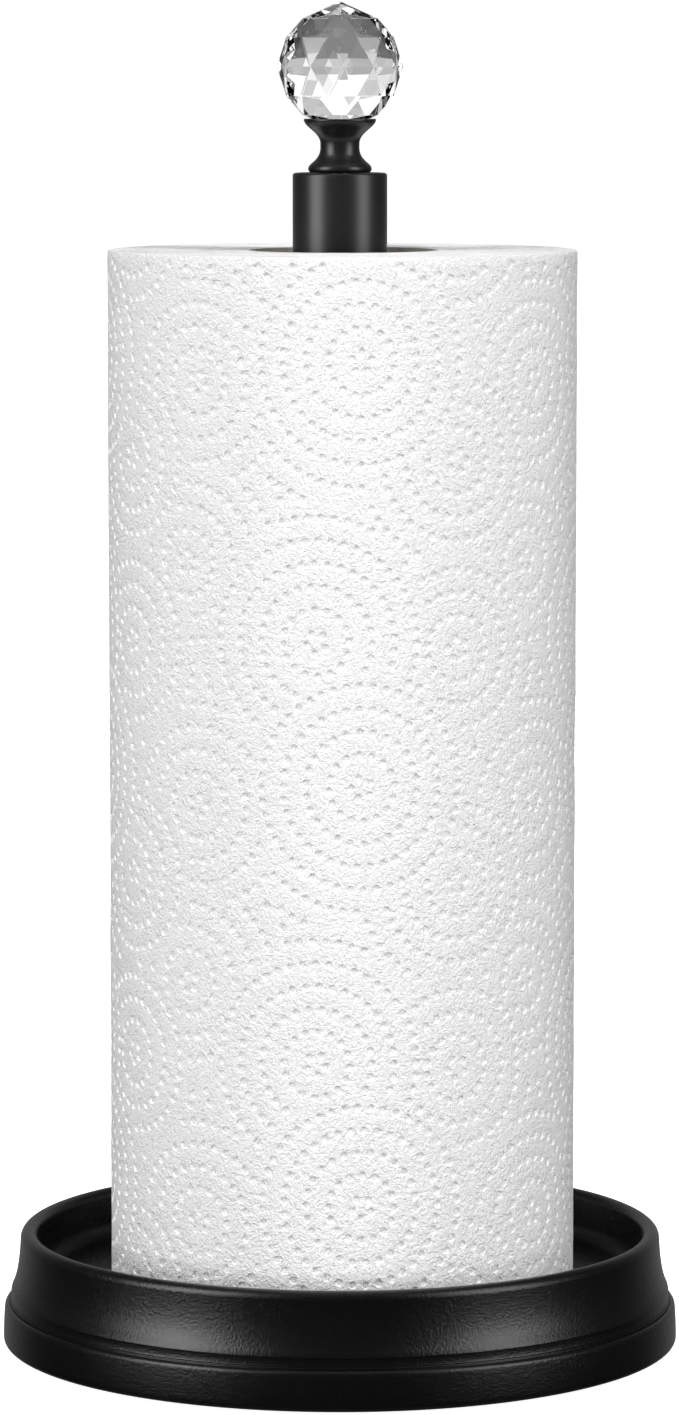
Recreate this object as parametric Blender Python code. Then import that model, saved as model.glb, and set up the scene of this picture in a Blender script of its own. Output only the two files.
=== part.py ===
"""Countertop paper towel holder: a weighted dish base, a steel post, a crystal finial and a paper roll.

Units are metres and +Z is up. The origin lies on the post's axis, on the surface that the feet stand on.
"""
import math

import bmesh
import bpy

MM = 0.001

# Clearances
TOUCH_GAP = 0.3 * MM  # between pieces that rest on or in each other
THREAD_GAP = 0.3 * MM  # round a screw, stud or bolt in its hole
SPIN_GAP = 0.3 * MM  # between the cardboard core and the paper wound on it

# Base: an outer band, a flared wall and a full-round lip round a shallow dish
BAND_RADIUS = 92.0 * MM
BASE_HEIGHT = 31.55 * MM
SKIRT_LIFT = 0.8 * MM  # the skirt hangs this far above the surface
LIP_INSET = 4.75 * MM  # the lip's outer face lies this far inside the band
LIP_THICKNESS = 4.7 * MM
BAND_CORNER = 1.4 * MM
BAND_DRAFT = 0.5 * MM  # the band narrows by this much towards its shoulder
LEDGE_HEIGHT = 11.7 * MM  # step between the band and the flared wall
LEDGE_WIDTH = 0.85 * MM
SHOULDER_RADIUS = 1.2 * MM
COVE_HEIGHT = 3.0 * MM  # narrow upright neck between the ledge and the flare's foot
COVE_DEPTH = 0.15 * MM
FLARE_HANDLES = ((0.1, 0.67), (0.28, 0.3), (0.92, 0.07))  # shares of the flare's width and height
BAND_BULGE = 0.4  # share of the draft that the band has taken up just under its shoulder
DISH_FLOOR_HEIGHT = 18.2 * MM
DISH_FILLET = 4.0 * MM
FLOOR_THICKNESS = 3.0 * MM
SHELL_WALL = 3.0 * MM
HUB_RADIUS = 14.0 * MM
HUB_THICKNESS = 3.5 * MM
POST_SEAT_DEPTH = 1.2 * MM

# Underside: cover plate, screws, feet and ballast
COVER_THICKNESS = 1.1 * MM
FOOT_HEIGHT = 2.0 * MM
FOOT_RADIUS = 7.0 * MM
FOOT_EDGE_MARGIN = 5.0 * MM  # from the foot's edge to the cover's edge
FOOT_CORNER = 0.5 * MM
FOOT_COUNT = 6
SCREW_COUNT = 3
SCREW_RADIUS = 2.0 * MM
SCREW_LENGTH = 8.0 * MM
SCREW_HEAD_RADIUS = 3.7 * MM
SCREW_HEAD_HEIGHT = 1.2 * MM
SCREW_SOCKET_RADIUS = 1.4 * MM
SCREW_SOCKET_DEPTH = 0.7 * MM
BOSS_WALL = 2.7 * MM
BALLAST_BOSS_GAP = 1.0 * MM
BALLAST_HUB_GAP = 2.0 * MM

# Post: a capped steel tube, bolted on from below
POST_RADIUS = 12.7 * MM
POST_WALL = 1.2 * MM
POST_LENGTH = 301.2 * MM
POST_EDGE = 0.8 * MM
PLUG_LENGTH = 16.0 * MM
PLUG_RECESS = 0.2 * MM
BOLT_RADIUS = 4.0 * MM
BOLT_REACH = 12.0 * MM  # how far the bolt's shank goes up into the lower plug
BOLT_HEAD_ACROSS_FLATS = 13.0 * MM
BOLT_HEAD_HEIGHT = 5.3 * MM
WASHER_RADIUS = 8.0 * MM
WASHER_THICKNESS = 1.6 * MM
SPRING_WASHER_RADIUS = 7.4 * MM
SPRING_WASHER_THICKNESS = 2.0 * MM
SPRING_WASHER_SLIT = math.radians(14.0)
ACCESS_HOLE_MARGIN = 3.0 * MM  # round the bolt's head, for a socket

# Finial: a turned neck on a stud, carrying a faceted glass ball
STUD_RADIUS = 3.0 * MM
STUD_IN_NECK = 8.7 * MM
STUD_IN_PLUG = 8.0 * MM
STUD_CHAMFER = 0.5 * MM
NECK_HEIGHT = 14.1 * MM
NECK_FOOT_RADIUS = 8.55 * MM
NECK_FOOT_ROUND = 1.0 * MM
NECK_WAIST_RADIUS = 5.25 * MM
NECK_CUP_RADIUS = 9.7 * MM
NECK_LOWER_FLANK = 5.5 * MM  # height over which the foot draws in to the waist
NECK_UPPER_FLANK = 6.3 * MM  # height over which the waist opens out to the cup
NECK_LOWER_BEND = (0.26, 0.33)  # shares of the lower flank at which its curve leaves foot and waist
NECK_UPPER_BEND = (0.48, 0.67)  # shares of the upper flank at which its curve leaves waist and cup
CUP_RIM = 0.4 * MM
CUP_WALL = 0.7 * MM
CEMENT_THICKNESS = 0.4 * MM
BALL_RADIUS = 16.9 * MM
BALL_FACETS = 12
BALL_CROWN_RADIUS = 11.4 * MM
BALL_CROWN_HEIGHT = 12.8 * MM
BALL_SHOULDER_RADIUS = 14.8 * MM
BALL_SHOULDER_HEIGHT = 7.75 * MM
BALL_PEAK_HEIGHT = 17.4 * MM
BALL_FOOT_HEIGHT = 14.6 * MM  # from the girdle down to the ground flat that is cemented
BALL_TURN = math.radians(2.5)

# Paper roll, standing a little off the post's axis because its core is loose on the post
ROLL_LENGTH = 279.4 * MM
ROLL_RADIUS = 63.4 * MM
ROLL_OFFSET = 0.8 * MM
ROLL_EDGE = 1.0 * MM
SHEET_THICKNESS = 0.5 * MM
SHEET_SLIT = math.radians(0.5)
SHEET_EDGE_TURN = math.radians(112.0)  # the free edge lies at the back of the roll
CORE_INNER_RADIUS = 24.5 * MM
CORE_WALL = 0.8 * MM

# Facets round each kind of turned piece
BASE_SEGMENTS = 64
ROLL_SEGMENTS = 64
CORE_SEGMENTS = 48
POST_SEGMENTS = 40
NECK_SEGMENTS = 32
SMALL_SEGMENTS = 20

# Heights and radii that several pieces share, worked out from the sizes above
COVER_BOTTOM = FOOT_HEIGHT + TOUCH_GAP
COVER_TOP = COVER_BOTTOM + COVER_THICKNESS
UNDERSIDE_HEIGHT = DISH_FLOOR_HEIGHT - FLOOR_THICKNESS
POST_SEAT_HEIGHT = DISH_FLOOR_HEIGHT - POST_SEAT_DEPTH
HUB_BOTTOM = POST_SEAT_HEIGHT - HUB_THICKNESS
POST_BOTTOM = POST_SEAT_HEIGHT + TOUCH_GAP
POST_TOP = POST_BOTTOM + POST_LENGTH
POST_BORE = POST_RADIUS - POST_WALL
ROLL_BOTTOM = DISH_FLOOR_HEIGHT + TOUCH_GAP
NECK_BOTTOM = POST_TOP + TOUCH_GAP
LIP_OUTER_RADIUS = BAND_RADIUS - LIP_INSET
LIP_INNER_RADIUS = LIP_OUTER_RADIUS - LIP_THICKNESS
LEDGE_OUTER_RADIUS = BAND_RADIUS - BAND_DRAFT - SHOULDER_RADIUS + LEDGE_WIDTH / 2
LEDGE_INNER_RADIUS = LEDGE_OUTER_RADIUS - LEDGE_WIDTH
COVER_SEAT_RADIUS = BAND_RADIUS - SHELL_WALL
CAVITY_RADIUS = LEDGE_INNER_RADIUS - COVE_DEPTH - SHELL_WALL
BOSS_RADIUS = SCREW_RADIUS + THREAD_GAP + BOSS_WALL
SCREW_CIRCLE = CAVITY_RADIUS - BOSS_RADIUS - BOSS_WALL


def clear_scene():
    """Take out whatever the file starts with."""
    for item in list(bpy.data.objects):
        bpy.data.objects.remove(item, do_unlink=True)


def make_material(name, colour, metallic, roughness, transmission=0.0):
    """A Principled material in the piece's own colour and gloss."""
    material = bpy.data.materials.new(name)
    material.use_nodes = True
    shader = material.node_tree.nodes["Principled BSDF"]
    shader.inputs["Base Color"].default_value = (*colour, 1.0)
    shader.inputs["Metallic"].default_value = metallic
    shader.inputs["Roughness"].default_value = roughness
    shader.inputs["Transmission Weight"].default_value = transmission
    material.diffuse_color = (*colour, 1.0)
    return material


def arc(centre_radius, centre_height, radius, start_degrees, end_degrees, steps):
    """Points on a round corner of a turned profile, ends included."""
    points = []
    for step in range(steps + 1):
        angle = math.radians(start_degrees + (end_degrees - start_degrees) * step / steps)
        points.append((centre_radius + radius * math.cos(angle), centre_height + radius * math.sin(angle)))
    return points


def bezier(start, start_handle, end_handle, end, steps):
    """Points on a smooth flank of a turned profile, without its start."""
    points = []
    for step in range(1, steps + 1):
        t = step / steps
        weights = ((1 - t) ** 3, 3 * t * (1 - t) ** 2, 3 * t * t * (1 - t), t**3)
        corners = (start, start_handle, end_handle, end)
        radius = sum(weight * corner[0] for weight, corner in zip(weights, corners))
        height = sum(weight * corner[1] for weight, corner in zip(weights, corners))
        points.append((radius, height))
    return points


def mesh_from(bm, name, smooth):
    """Close a bmesh with its faces outwards and hand it over as a mesh."""
    bmesh.ops.remove_doubles(bm, verts=bm.verts[:], dist=0.001 * MM)
    bmesh.ops.recalc_face_normals(bm, faces=bm.faces[:])
    mesh = bpy.data.meshes.new(name)
    bm.to_mesh(mesh)
    bm.free()
    if smooth:
        mesh.shade_smooth()
        mesh.set_sharp_from_angle(angle=math.radians(35.0))
    return mesh


def place(mesh, name, material, location=(0.0, 0.0, 0.0), parent=None):
    """Put a mesh in the scene as a named piece."""
    if not mesh.materials:
        mesh.materials.append(material)
    piece = bpy.data.objects.new(name, mesh)
    piece.location = location
    piece.parent = parent
    bpy.context.scene.collection.objects.link(piece)
    return piece


def add_axis(name, location):
    """An empty on a joint's axis, which carries the pieces that move about it."""
    axis = bpy.data.objects.new(name, None)
    axis.location = location
    axis.empty_display_size = 10 * MM
    bpy.context.scene.collection.objects.link(axis)
    return axis


def turned_mesh(name, profile, segments):
    """Spin a closed profile of (radius, height) points about the Z axis."""
    bm = bmesh.new()
    verts = [bm.verts.new((radius, 0.0, height)) for radius, height in profile]
    edges = [bm.edges.new((verts[i - 1], verts[i])) for i in range(len(verts))]
    bmesh.ops.spin(bm, geom=verts + edges, cent=(0, 0, 0), axis=(0, 0, 1), angle=2 * math.pi,
                   steps=segments, use_merge=True)
    return mesh_from(bm, name, smooth=True)


def split_ring_mesh(name, inner, outer, height, slit, segments):
    """A flat ring or a tube with a straight slit through one side."""
    bm = bmesh.new()
    corners = ((inner, 0.0), (outer, 0.0), (outer, height), (inner, height))
    start = slit / 2
    verts = [bm.verts.new((radius * math.cos(start), radius * math.sin(start), z)) for radius, z in corners]
    face = bm.faces.new(verts)
    bmesh.ops.spin(bm, geom=[face], cent=(0, 0, 0), axis=(0, 0, 1), angle=2 * math.pi - slit, steps=segments)
    return mesh_from(bm, name, smooth=True)


def block(inner, outer, height, edge=0.0):
    """Profile of a ring or sleeve that starts at height 0, with its outer corners cut by edge."""
    if edge:
        outside = [(outer - edge, 0.0), (outer, edge), (outer, height - edge), (outer - edge, height)]
    else:
        outside = [(outer, 0.0), (outer, height)]
    return [(inner, 0.0)] + outside + [(inner, height)]


def rod(radius, height, chamfer=0.0):
    """Profile of a solid round bar on the axis, with both ends chamfered."""
    if not chamfer:
        return [(0.0, 0.0), (radius, 0.0), (radius, height), (0.0, height)]
    return [(0.0, 0.0), (radius - chamfer, 0.0), (radius, chamfer), (radius, height - chamfer),
            (radius - chamfer, height), (0.0, height)]


def prism_mesh(name, across_flats, height, base=0.0):
    """An upright hexagonal prism whose flats face up and down the Y axis."""
    bm = bmesh.new()
    corner_radius = across_flats / (2 * math.cos(math.pi / 6))
    ring = []
    for corner in range(6):
        angle = corner * math.pi / 3
        ring.append(bm.verts.new((corner_radius * math.cos(angle), corner_radius * math.sin(angle), base)))
    face = bm.faces.new(ring)
    lifted = bmesh.ops.extrude_face_region(bm, geom=[face])["geom"]
    bmesh.ops.translate(bm, vec=(0, 0, height), verts=[v for v in lifted if isinstance(v, bmesh.types.BMVert)])
    return mesh_from(bm, name, smooth=False)


def combine(piece, tools, operation):
    """Cut or join tool objects into a piece, then take the tools away."""
    for tool in tools:
        modifier = piece.modifiers.new(operation.lower(), "BOOLEAN")
        modifier.operation = operation
        modifier.object = tool
    bpy.context.view_layer.update()
    evaluated = piece.evaluated_get(bpy.context.evaluated_depsgraph_get())
    result = bpy.data.meshes.new_from_object(evaluated)
    piece.modifiers.clear()
    piece.data = result
    for tool in tools:
        bpy.data.objects.remove(tool, do_unlink=True)
    return piece


def on_circle(radius, count, start_degrees):
    """Evenly spaced places on a circle about the Z axis."""
    angles = [math.radians(start_degrees + 360.0 * i / count) for i in range(count)]
    return [(radius * math.cos(angle), radius * math.sin(angle)) for angle in angles]


def dish_profile():
    """Top side of the base, from the bolt hole out over the lip."""
    lip_round = LIP_THICKNESS / 2
    lip_centre = LIP_OUTER_RADIUS - lip_round
    points = [(BOLT_RADIUS + THREAD_GAP, POST_SEAT_HEIGHT)]
    points.append((POST_RADIUS + TOUCH_GAP, POST_SEAT_HEIGHT))
    points.append((POST_RADIUS + TOUCH_GAP, DISH_FLOOR_HEIGHT))
    points += arc(LIP_INNER_RADIUS - DISH_FILLET, DISH_FLOOR_HEIGHT + DISH_FILLET, DISH_FILLET, -90, 0, 4)
    points += arc(lip_centre, BASE_HEIGHT - lip_round, lip_round, 180, 0, 8)
    return points


def skirt_profile():
    """Outer side of the base, from the lip down to the bottom edge."""
    wall_top = BASE_HEIGHT - LIP_THICKNESS / 2
    flare_foot = LEDGE_HEIGHT + COVE_HEIGHT
    wall_height = wall_top - flare_foot
    flare = LEDGE_INNER_RADIUS - LIP_OUTER_RADIUS
    bends = [(LIP_OUTER_RADIUS + flare * out, flare_foot + wall_height * up) for out, up in FLARE_HANDLES]
    points = bezier((LIP_OUTER_RADIUS, wall_top), *bends, steps=7)
    points.append((LEDGE_INNER_RADIUS, flare_foot))
    points.append((LEDGE_INNER_RADIUS - COVE_DEPTH, flare_foot - COVE_HEIGHT / 4))
    points.append((LEDGE_INNER_RADIUS - COVE_DEPTH, LEDGE_HEIGHT + COVE_HEIGHT / 4))
    points.append((LEDGE_INNER_RADIUS, LEDGE_HEIGHT))
    shoulder_reach = BAND_RADIUS - BAND_DRAFT - LEDGE_OUTER_RADIUS
    shoulder_end = math.degrees(math.acos(shoulder_reach / SHOULDER_RADIUS))
    points += arc(LEDGE_OUTER_RADIUS, LEDGE_HEIGHT - SHOULDER_RADIUS, SHOULDER_RADIUS, 90, shoulder_end, 2)
    band_bend = (BAND_RADIUS - BAND_DRAFT * (1 - BAND_BULGE), LEDGE_HEIGHT - 2 * SHOULDER_RADIUS)
    points += bezier(points[-1], band_bend, (BAND_RADIUS, LEDGE_HEIGHT / 2),
                     (BAND_RADIUS, SKIRT_LIFT + BAND_CORNER), 3)
    points += arc(BAND_RADIUS - BAND_CORNER, SKIRT_LIFT + BAND_CORNER, BAND_CORNER, 0, -90, 3)[1:]
    return points


def underside_profile():
    """Inside of the skirt and the underside of the floor, in to the hub."""
    cover_shelf = COVER_TOP + TOUCH_GAP
    return [(COVER_SEAT_RADIUS, SKIRT_LIFT),
            (COVER_SEAT_RADIUS, cover_shelf),
            (CAVITY_RADIUS, max(LEDGE_HEIGHT - SHELL_WALL, cover_shelf)),
            (CAVITY_RADIUS, UNDERSIDE_HEIGHT),
            (HUB_RADIUS, UNDERSIDE_HEIGHT),
            (HUB_RADIUS, HUB_BOTTOM),
            (BOLT_RADIUS + THREAD_GAP, HUB_BOTTOM)]


def build_base_shell(material):
    """The cast dish with its skirt, and the bosses that take the cover's screws."""
    profile = dish_profile() + skirt_profile() + underside_profile()
    shell = place(turned_mesh("base_shell", profile, BASE_SEGMENTS), "base_shell", material)
    boss_bottom = COVER_TOP + TOUCH_GAP
    boss_height = UNDERSIDE_HEIGHT + FLOOR_THICKNESS / 2 - boss_bottom
    bore = SCREW_RADIUS + THREAD_GAP
    bore_depth = UNDERSIDE_HEIGHT - boss_bottom
    boss = [(bore, 0.0), (BOSS_RADIUS, 0.0), (BOSS_RADIUS, boss_height), (0.0, boss_height),
            (0.0, bore_depth), (bore, bore_depth)]
    bosses = []
    for i, (x, y) in enumerate(on_circle(SCREW_CIRCLE, SCREW_COUNT, 30)):
        mesh = turned_mesh(f"boss_{i}", boss, SMALL_SEGMENTS)
        bosses.append(place(mesh, f"boss_{i}", material, (x, y, boss_bottom)))
    return combine(shell, bosses, "UNION")


def build_ballast(material):
    """The steel ring that gives the base its weight and fills the space under the floor."""
    bottom = COVER_TOP + TOUCH_GAP
    height = UNDERSIDE_HEIGHT - TOUCH_GAP - bottom
    outer = SCREW_CIRCLE - BOSS_RADIUS - BALLAST_BOSS_GAP
    mesh = turned_mesh("ballast_ring", block(HUB_RADIUS + BALLAST_HUB_GAP, outer, height), CORE_SEGMENTS)
    place(mesh, "ballast_ring", material, (0.0, 0.0, bottom))


def bolt_head_corner():
    """Radius of the post bolt's hexagonal head at its corners."""
    return BOLT_HEAD_ACROSS_FLATS / (2 * math.cos(math.pi / 6))


def build_cover(material):
    """The bottom plate, with holes for its screws and a socket hole under the post bolt."""
    outer = COVER_SEAT_RADIUS - TOUCH_GAP
    hole = bolt_head_corner() + ACCESS_HOLE_MARGIN
    mesh = turned_mesh("base_cover", block(hole, outer, COVER_THICKNESS), BASE_SEGMENTS)
    cover = place(mesh, "base_cover", material, (0.0, 0.0, COVER_BOTTOM))
    drills = []
    for i, (x, y) in enumerate(on_circle(SCREW_CIRCLE, SCREW_COUNT, 30)):
        drill = turned_mesh(f"drill_{i}", rod(SCREW_RADIUS + THREAD_GAP, 3 * COVER_THICKNESS), SMALL_SEGMENTS)
        drills.append(place(drill, f"drill_{i}", material, (x, y, COVER_BOTTOM - COVER_THICKNESS)))
    combine(cover, drills, "DIFFERENCE")


def build_cover_screws(material):
    """Low-head screws with a hexagonal socket; their heads lie under the cover."""
    head_top = COVER_BOTTOM - TOUCH_GAP
    profile = [(0.0, -SCREW_HEAD_HEIGHT), (SCREW_HEAD_RADIUS - SCREW_HEAD_HEIGHT / 3, -SCREW_HEAD_HEIGHT),
               (SCREW_HEAD_RADIUS, -SCREW_HEAD_HEIGHT * 2 / 3), (SCREW_HEAD_RADIUS, 0.0), (SCREW_RADIUS, 0.0),
               (SCREW_RADIUS, SCREW_LENGTH - SCREW_RADIUS / 4), (SCREW_RADIUS * 3 / 4, SCREW_LENGTH),
               (0.0, SCREW_LENGTH)]
    shared = None
    for i, (x, y) in enumerate(on_circle(SCREW_CIRCLE, SCREW_COUNT, 30)):
        name = f"cover_screw_{i + 1}"
        if shared is None:
            screw = place(turned_mesh(name, profile, SMALL_SEGMENTS), name, material)
            socket = prism_mesh("socket", 2 * SCREW_SOCKET_RADIUS, 2 * SCREW_SOCKET_DEPTH,
                                -SCREW_HEAD_HEIGHT - SCREW_SOCKET_DEPTH)
            shared = combine(screw, [place(socket, "socket", material)], "DIFFERENCE").data
            screw.location = (x, y, head_top)
        else:
            place(shared, name, material, (x, y, head_top))


def build_feet(material):
    """Soft round pads stuck to the cover; the whole holder stands on them."""
    circle = COVER_SEAT_RADIUS - TOUCH_GAP - FOOT_EDGE_MARGIN - FOOT_RADIUS
    profile = [(0.0, 0.0), (FOOT_RADIUS - FOOT_CORNER, 0.0), (FOOT_RADIUS, FOOT_CORNER),
               (FOOT_RADIUS, FOOT_HEIGHT), (0.0, FOOT_HEIGHT)]
    shared = turned_mesh("foot_pad", profile, SMALL_SEGMENTS)
    for i, (x, y) in enumerate(on_circle(circle, FOOT_COUNT, 0)):
        place(shared, f"foot_pad_{i + 1}", material, (x, y, 0.0))


def build_post(tube_material, plug_material):
    """The post's tube and the threaded plugs fixed in its two ends."""
    edge = arc(POST_RADIUS - POST_EDGE, POST_LENGTH - POST_EDGE, POST_EDGE, 0, 90, 3)
    profile = [(POST_BORE, 0.0), (POST_RADIUS, 0.0)] + edge + [(POST_BORE, POST_LENGTH)]
    place(turned_mesh("post_tube", profile, POST_SEGMENTS), "post_tube", tube_material, (0, 0, POST_BOTTOM))
    plug_radius = POST_BORE - TOUCH_GAP
    upper = turned_mesh("upper_plug", block(STUD_RADIUS + THREAD_GAP, plug_radius, PLUG_LENGTH), CORE_SEGMENTS)
    place(upper, "upper_plug", tube_material, (0.0, 0.0, POST_TOP - PLUG_RECESS - PLUG_LENGTH))
    lower = turned_mesh("lower_plug", block(BOLT_RADIUS + THREAD_GAP, plug_radius, PLUG_LENGTH), SMALL_SEGMENTS)
    place(lower, "lower_plug", plug_material, (0.0, 0.0, POST_BOTTOM))


def build_post_bolt(material):
    """Hexagonal bolt, spring washer and flat washer that hold the post down to the hub."""
    washer_bottom = HUB_BOTTOM - TOUCH_GAP - WASHER_THICKNESS
    spring_bottom = washer_bottom - TOUCH_GAP - SPRING_WASHER_THICKNESS
    head_top = spring_bottom - TOUCH_GAP
    hole = BOLT_RADIUS + THREAD_GAP
    washer = turned_mesh("bolt_washer", block(hole, WASHER_RADIUS, WASHER_THICKNESS), SMALL_SEGMENTS)
    place(washer, "bolt_washer", material, (0.0, 0.0, washer_bottom))
    spring = split_ring_mesh("spring_washer", hole, SPRING_WASHER_RADIUS, SPRING_WASHER_THICKNESS,
                             SPRING_WASHER_SLIT, SMALL_SEGMENTS)
    place(spring, "spring_washer", material, (0.0, 0.0, spring_bottom))
    shank_length = POST_BOTTOM + BOLT_REACH - head_top + BOLT_HEAD_HEIGHT / 2
    shank_mesh = turned_mesh("shank", rod(BOLT_RADIUS, shank_length, STUD_CHAMFER), SMALL_SEGMENTS)
    shank = place(shank_mesh, "shank", material, (0.0, 0.0, head_top - BOLT_HEAD_HEIGHT / 2))
    head_mesh = prism_mesh("post_bolt", BOLT_HEAD_ACROSS_FLATS, BOLT_HEAD_HEIGHT, head_top - BOLT_HEAD_HEIGHT)
    combine(place(head_mesh, "post_bolt", material), [shank], "UNION")


def ball_cap_slope():
    """Rise of the ball's lower cap for each step outwards."""
    return (BALL_PEAK_HEIGHT - BALL_CROWN_HEIGHT) / BALL_CROWN_RADIUS


def ball_foot_radius():
    """Corner radius of the ground flat, where it cuts the ball's lower cap."""
    return (BALL_PEAK_HEIGHT - BALL_FOOT_HEIGHT) / ball_cap_slope()


def cup_depth():
    """Depth of the neck's cup, so that its rim just clears the ball's lower cap."""
    rim_radius = NECK_CUP_RADIUS - CUP_RIM / 2
    return CEMENT_THICKNESS + TOUCH_GAP + (rim_radius - ball_foot_radius()) * ball_cap_slope()


def neck_profile():
    """The turned spool, from the stud's bore over the foot, the waist and the cup."""
    bore = STUD_RADIUS + THREAD_GAP
    waist_low = NECK_FOOT_ROUND + NECK_LOWER_FLANK
    cup_top = NECK_HEIGHT - CUP_RIM
    waist_high = cup_top - NECK_UPPER_FLANK
    points = [(bore, 0.0)]
    points += arc(NECK_FOOT_RADIUS - NECK_FOOT_ROUND, NECK_FOOT_ROUND, NECK_FOOT_ROUND, -90, 0, 3)
    lower = [NECK_FOOT_ROUND + NECK_LOWER_FLANK * share for share in NECK_LOWER_BEND]
    upper = [waist_high + NECK_UPPER_FLANK * share for share in NECK_UPPER_BEND]
    points += bezier(points[-1], (NECK_FOOT_RADIUS, lower[0]), (NECK_WAIST_RADIUS, lower[1]),
                     (NECK_WAIST_RADIUS, waist_low), 6)
    points += bezier((NECK_WAIST_RADIUS, waist_high), (NECK_WAIST_RADIUS, upper[0]),
                     (NECK_CUP_RADIUS - CUP_RIM, upper[1]), (NECK_CUP_RADIUS, cup_top), 7)
    points.append((NECK_CUP_RADIUS - CUP_RIM / 2, NECK_HEIGHT))
    points.append((NECK_CUP_RADIUS - CUP_WALL, NECK_HEIGHT - CUP_RIM))
    points.append((NECK_CUP_RADIUS - CUP_WALL - cup_depth(), NECK_HEIGHT - cup_depth()))
    points.append((0.0, NECK_HEIGHT - cup_depth()))
    points.append((0.0, STUD_IN_NECK + TOUCH_GAP))
    points.append((bore, STUD_IN_NECK + TOUCH_GAP))
    return points


def ball_mesh():
    """The cut ball: rings of facet corners wrapped in flat faces, with a ground flat below."""
    rings = [(BALL_CROWN_RADIUS, BALL_CROWN_HEIGHT, BALL_FACETS // 2, 0.0),
             (BALL_SHOULDER_RADIUS, BALL_SHOULDER_HEIGHT, BALL_FACETS, 0.5),
             (BALL_RADIUS, 0.0, BALL_FACETS, 0.0),
             (BALL_SHOULDER_RADIUS, -BALL_SHOULDER_HEIGHT, BALL_FACETS, 0.5),
             (BALL_CROWN_RADIUS, -BALL_CROWN_HEIGHT, BALL_FACETS // 2, 0.0),
             (ball_foot_radius(), -BALL_FOOT_HEIGHT, BALL_FACETS // 2, 0.0)]
    bm = bmesh.new()
    bm.verts.new((0.0, 0.0, BALL_PEAK_HEIGHT))
    for radius, height, count, shift in rings:
        for i in range(count):
            angle = 2 * math.pi * (i + shift) / count - math.pi / 2 + BALL_TURN
            bm.verts.new((radius * math.cos(angle), radius * math.sin(angle), height))
    bmesh.ops.convex_hull(bm, input=bm.verts[:])
    bmesh.ops.dissolve_limit(bm, angle_limit=math.radians(0.5), verts=bm.verts[:], edges=bm.edges[:])
    return mesh_from(bm, "crystal_ball", smooth=False)


def build_finial(neck_material, stud_material, cement_material, glass_material):
    """The knob on top of the post: stud, neck, cement and ball, carried by one axis."""
    axis = add_axis("finial_axis", (0.0, 0.0, NECK_BOTTOM))
    place(turned_mesh("finial_neck", neck_profile(), NECK_SEGMENTS), "finial_neck", neck_material, parent=axis)
    stud_length = STUD_IN_NECK + TOUCH_GAP + STUD_IN_PLUG
    stud = turned_mesh("finial_stud", rod(STUD_RADIUS, stud_length, STUD_CHAMFER), SMALL_SEGMENTS)
    place(stud, "finial_stud", stud_material, (0.0, 0.0, STUD_IN_NECK - stud_length), axis)
    cement_bottom = NECK_HEIGHT - cup_depth() + TOUCH_GAP
    cement_radius = min(ball_foot_radius() * math.cos(math.pi / 6), NECK_CUP_RADIUS - CUP_WALL - cup_depth())
    cement = turned_mesh("ball_cement", rod(cement_radius - TOUCH_GAP, CEMENT_THICKNESS), SMALL_SEGMENTS)
    place(cement, "ball_cement", cement_material, (0.0, 0.0, cement_bottom), axis)
    ball_centre = cement_bottom + CEMENT_THICKNESS + TOUCH_GAP + BALL_FOOT_HEIGHT
    place(ball_mesh(), "crystal_ball", glass_material, (0.0, 0.0, ball_centre), axis)


def build_roll(core_material, paper_material, sheet_material):
    """The paper roll: cardboard core, wound paper, and the outermost sheet with its free edge."""
    axis = add_axis("roll_axis", (ROLL_OFFSET, 0.0, ROLL_BOTTOM))
    core_outer = CORE_INNER_RADIUS + CORE_WALL
    core = turned_mesh("roll_core", block(CORE_INNER_RADIUS, core_outer, ROLL_LENGTH), CORE_SEGMENTS)
    place(core, "roll_core", core_material, parent=axis)
    sheet_inner = ROLL_RADIUS - SHEET_THICKNESS
    winding_profile = block(core_outer + SPIN_GAP, sheet_inner - TOUCH_GAP, ROLL_LENGTH, ROLL_EDGE)
    place(turned_mesh("paper_winding", winding_profile, ROLL_SEGMENTS), "paper_winding", paper_material,
          parent=axis)
    sheet = split_ring_mesh("outer_sheet", sheet_inner, ROLL_RADIUS, ROLL_LENGTH, SHEET_SLIT, ROLL_SEGMENTS)
    free_edge = place(sheet, "outer_sheet", sheet_material, parent=axis)
    free_edge.rotation_euler = (0.0, 0.0, SHEET_EDGE_TURN)


def build_all():
    """Make every piece of the holder."""
    clear_scene()
    black_coat = make_material("black_powder_coat", (0.012, 0.012, 0.013), 0.0, 0.42)
    black_post = make_material("black_satin_post", (0.014, 0.014, 0.015), 0.0, 0.34)
    black_neck = make_material("black_satin_finial", (0.014, 0.014, 0.015), 0.0, 0.3)
    cover_black = make_material("black_cover_plate", (0.02, 0.02, 0.02), 0.0, 0.6)
    ballast_iron = make_material("ballast_iron", (0.16, 0.16, 0.17), 1.0, 0.6)
    zinc = make_material("zinc_plated_steel", (0.62, 0.63, 0.65), 1.0, 0.35)
    silicone = make_material("clear_silicone", (0.55, 0.56, 0.58), 0.0, 0.55)
    cement = make_material("clear_cement", (0.85, 0.85, 0.83), 0.0, 0.2, 0.8)
    glass = make_material("clear_crystal", (0.98, 0.98, 0.99), 0.0, 0.02, 1.0)
    cardboard = make_material("grey_cardboard", (0.42, 0.41, 0.4), 0.0, 0.9)
    paper = make_material("white_paper", (0.9, 0.9, 0.9), 0.0, 0.9)
    sheet = make_material("white_paper_sheet", (0.93, 0.93, 0.93), 0.0, 0.88)
    build_base_shell(black_coat)
    build_ballast(ballast_iron)
    build_cover(cover_black)
    build_cover_screws(zinc)
    build_feet(silicone)
    build_post(black_post, zinc)
    build_post_bolt(zinc)
    build_finial(black_neck, zinc, cement, glass)
    build_roll(cardboard, paper, sheet)


build_all()
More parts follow.
